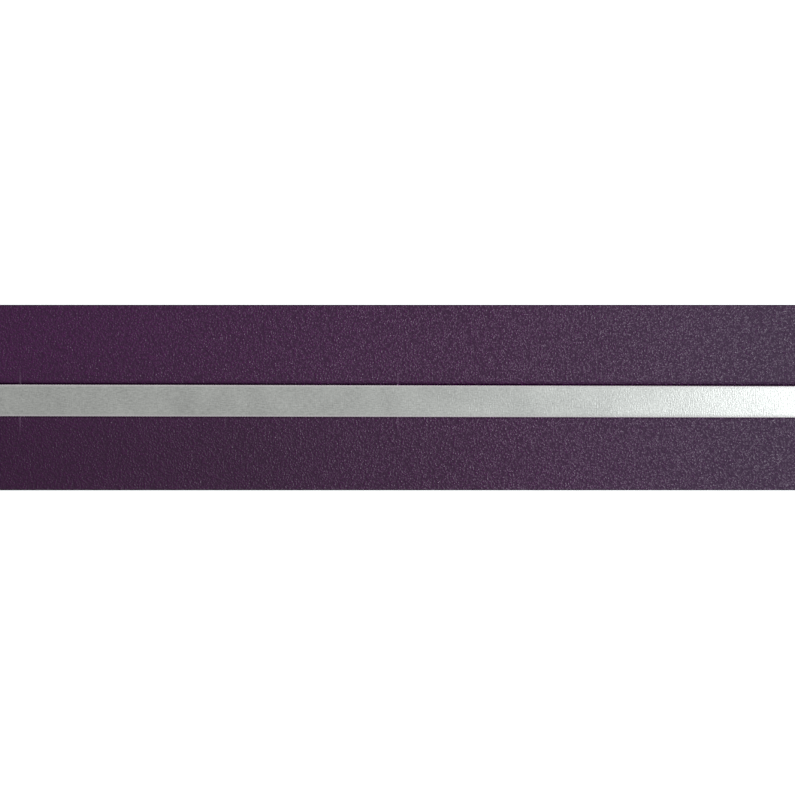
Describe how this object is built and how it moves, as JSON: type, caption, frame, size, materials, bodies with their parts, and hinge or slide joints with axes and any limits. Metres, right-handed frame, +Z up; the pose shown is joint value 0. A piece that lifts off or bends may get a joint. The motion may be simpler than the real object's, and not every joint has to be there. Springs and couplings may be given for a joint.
{
  "type": "rhythmic ribbon wand",
  "caption": "Tapered stick with rubber grip, turning tip eye, barrel swivel and snap hook, clipped to a purple ribbon with a silver stripe, its spare length rolled and tied.",
  "frame": {"origin": "underside of the ribbon at the middle of its flat stretch, on the surface it lies on", "axes": "+X along the flat stretch towards the eyelet, +Y towards the side where the stick lies, +Z up"},
  "size_m": [0.5033, 0.3441, 0.0643],
  "materials": {
    "purple_grained_ribbon": "fine pebbled grain, low sheen",
    "silver_satin_ribbon": "satin",
    "purple_thread": "sewing thread",
    "dark_patch_tape": "woven tape",
    "dark_tie_strap": "brushed strap",
    "nickel_plate": "bright plate",
    "spring_steel": "drawn wire",
    "satin_aluminium": "satin",
    "violet_fibreglass": "gloss",
    "black_plastic": "semi-gloss",
    "purple_grip_rubber": "matt"
  },
  "bodies": {
    "ribbon": {"ribbon_run": "purple_grained_ribbon", "ribbon_lead": "purple_grained_ribbon", "ribbon_roll": "purple_grained_ribbon", "ribbon_doubling": "purple_grained_ribbon", "tail_hem": "purple_grained_ribbon", "silver_stripe": "silver_satin_ribbon", "edge_stitch_left": "purple_thread", "edge_stitch_right": "purple_thread", "bar_tack": "purple_thread", "patch_top": "dark_patch_tape", "patch_bottom": "dark_patch_tape", "tie_strap": "dark_tie_strap", "tie_tab": "dark_tie_strap", "eyelet_front": "nickel_plate", "eyelet_washer": "nickel_plate"},
    "snap": {"snap_body": "nickel_plate", "snap_pivot_pin": "spring_steel", "gate_spring": "spring_steel"},
    "gate": {"snap_gate": "nickel_plate"},
    "swivel": {"swivel_eye_snap": "nickel_plate", "swivel_eye_tip": "nickel_plate"},
    "barrel": {"swivel_barrel": "nickel_plate"},
    "ring": {"link_ring": "spring_steel"},
    "tip": {"tip_eye": "nickel_plate"},
    "stick": {"stick_shaft": "violet_fibreglass", "tip_ferrule": "satin_aluminium", "ferrule_pin": "spring_steel", "tip_thrust_washer": "spring_steel", "grip_collar": "black_plastic", "grip_sleeve": "purple_grip_rubber", "grip_end_cap": "black_plastic"}
  },
  "joints": [
    {"name": "eyelet_swing", "type": "hinge", "parent": "ribbon", "child": "snap", "pos_m": [0.185, 0, 0.005], "axis": [0, 0, 1], "range_deg": [-120, 10]},
    {"name": "gate_open", "type": "hinge", "parent": "snap", "child": "gate", "pos_m": [0.1896, 0.00797, 0.009], "axis": [0.866, -0.5, 0], "range_deg": [0, 25], "stiffness_Nm_per_rad": 0.0004, "springref_deg": -9.74},
    {"name": "swivel_swing", "type": "hinge", "parent": "snap", "child": "swivel", "pos_m": [0.19395, 0.01549, 0.005], "axis": [0, 0, 1], "range_deg": [-80, 10]},
    {"name": "barrel_spin", "type": "hinge", "parent": "swivel", "child": "barrel", "pos_m": [0.19234, 0.0246, 0.005], "axis": [-0.1736, 0.9848, 0], "continuous": true},
    {"name": "ring_swing", "type": "hinge", "parent": "swivel", "child": "ring", "pos_m": [0.19092, 0.03268, 0.005], "axis": [0, 0, 1], "range_deg": [-100, 10]},
    {"name": "stick_lift", "type": "hinge", "parent": "ring", "child": "tip", "pos_m": [0.18702, 0.03493, 0.005], "axis": [0.5, 0.866, 0], "range_deg": [0, 85]},
    {"name": "stick_spin", "type": "hinge", "parent": "tip", "child": "stick", "pos_m": [0.18018, 0.03888, 0.005], "axis": [-0.866, 0.5, 0], "continuous": true}
  ]
}
